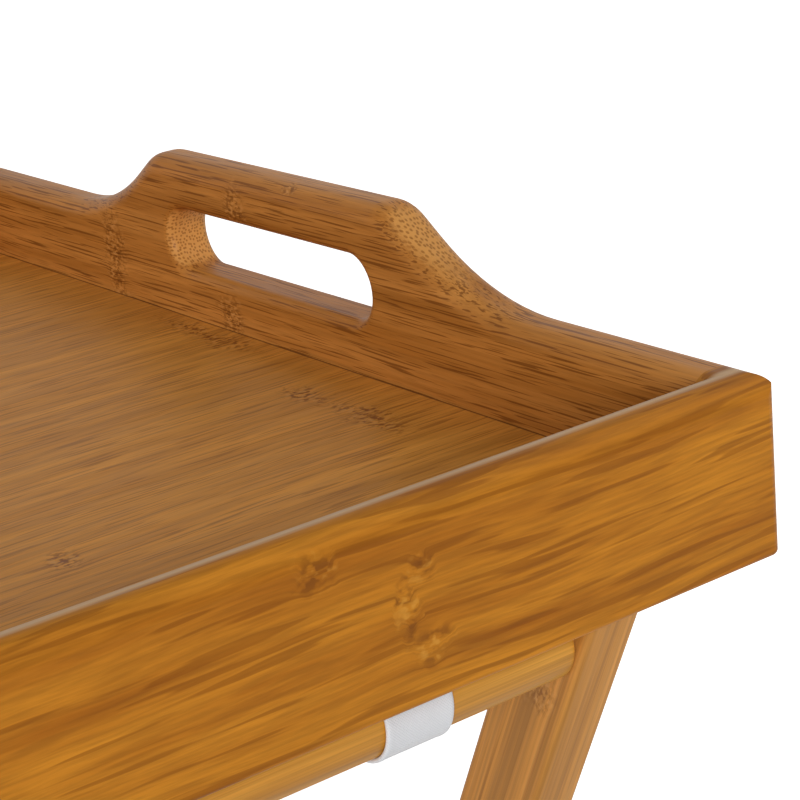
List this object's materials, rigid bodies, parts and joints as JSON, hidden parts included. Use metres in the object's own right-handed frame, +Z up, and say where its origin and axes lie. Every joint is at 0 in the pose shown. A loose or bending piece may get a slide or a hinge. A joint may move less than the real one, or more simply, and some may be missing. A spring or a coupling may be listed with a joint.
{
  "type": "folding tray table",
  "caption": "Lift-off bamboo serving tray with a raised slotted handle at each end, on a folding X-leg stand with round rails and webbing stop straps.",
  "frame": {"origin": "on the floor, under the middle of the tray", "axes": "+X along the tray towards the end that the picture shows, +Y from the long side that the picture shows to the back, +Z up"},
  "size_m": [0.55, 0.332, 0.6772],
  "materials": {
    "bamboo_side_wall": "golden brown carbonised bamboo, satin lacquer",
    "bamboo_end_wall": "carbonised bamboo with a raised handle, satin lacquer",
    "bamboo_floor": "laminated bamboo strips, satin lacquer",
    "bamboo_dowel": "plain bamboo, hidden",
    "bamboo_leg": "carbonised bamboo strips, satin lacquer",
    "bamboo_rail": "turned bamboo, satin lacquer",
    "zinc_steel": "bright zinc plated steel",
    "nylon_spacer": "white nylon",
    "white_webbing": "fine woven white webbing"
  },
  "bodies": {
    "outer_frame": {"outer_leg_right": "bamboo_leg", "outer_leg_left": "bamboo_leg", "front_top_rail": "bamboo_rail", "outer_bottom_rail": "bamboo_rail", "outer_rail_screws": "zinc_steel", "pivot_bolts": "zinc_steel", "pivot_spacer_washers": "nylon_spacer", "pivot_nut_washers": "zinc_steel", "pivot_cap_nuts": "zinc_steel", "strap_right_front_loop": "white_webbing", "strap_right_span": "white_webbing", "strap_left_front_loop": "white_webbing", "strap_left_span": "white_webbing", "front_strap_staples": "zinc_steel"},
    "inner_frame": {"inner_leg_right": "bamboo_leg", "inner_leg_left": "bamboo_leg", "back_top_rail": "bamboo_rail", "inner_bottom_rail": "bamboo_rail", "inner_rail_screws": "zinc_steel", "back_strap_staples": "zinc_steel", "strap_right_back_loop": "white_webbing", "strap_left_back_loop": "white_webbing"},
    "tray": {"tray_front_wall": "bamboo_side_wall", "tray_back_wall": "bamboo_side_wall", "tray_handle_end_right": "bamboo_end_wall", "tray_handle_end_left": "bamboo_end_wall", "tray_floor_panel": "bamboo_floor", "tray_corner_dowels": "bamboo_dowel"}
  },
  "joints": [
    {"name": "stand_fold", "type": "hinge", "parent": "outer_frame", "child": "inner_frame", "pos_m": [0, 0, 0.30538], "axis": [1, 0, 0], "range_deg": [0, 46.5], "deforming": ["strap_right_span", "strap_left_span"]},
    {"name": "tray_lift", "type": "slide", "parent": "outer_frame", "child": "tray", "axis": [0, 0, 1], "range_m": [0, 0.21]}
  ],
  "couplings": [
    {"joint": "tray_lift", "follows": "stand_fold", "m_per_rad": 0.25}
  ]
}
